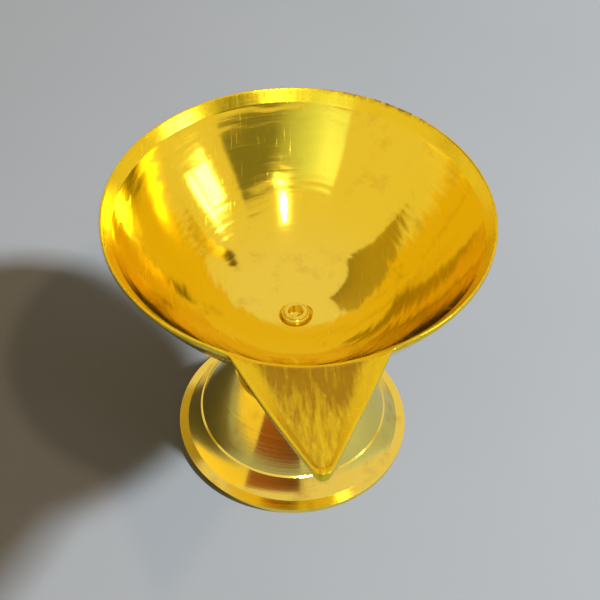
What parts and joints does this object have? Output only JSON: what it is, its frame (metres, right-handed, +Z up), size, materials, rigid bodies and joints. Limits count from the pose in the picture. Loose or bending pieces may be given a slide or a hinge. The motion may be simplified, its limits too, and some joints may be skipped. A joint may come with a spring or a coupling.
{
  "type": "butter lamp",
  "caption": "Small footed brass lamp: a round polished cup with a pointed, turned-up spout for the wick, on a waisted stem and a hollow bell foot, joined by a rivet along its axis",
  "frame": {"origin": "centre of the ring under the foot that stands on the table, on the axis the cup and foot are turned about", "axes": "+Z up along the turning axis, -Y towards the spout's tip, X across the spout"},
  "size_m": [0.064, 0.0866, 0.0603],
  "materials": {
    "cup_brass": "polished, turned inside",
    "stem_brass": "turned",
    "foot_brass": "spun and polished",
    "rivet_brass": "as set"
  },
  "bodies": {
    "root": {"bowl": "cup_brass", "stem": "stem_brass", "foot": "foot_brass", "rivet": "rivet_brass", "rivet_washer": "rivet_brass"}
  },
  "joints": []
}
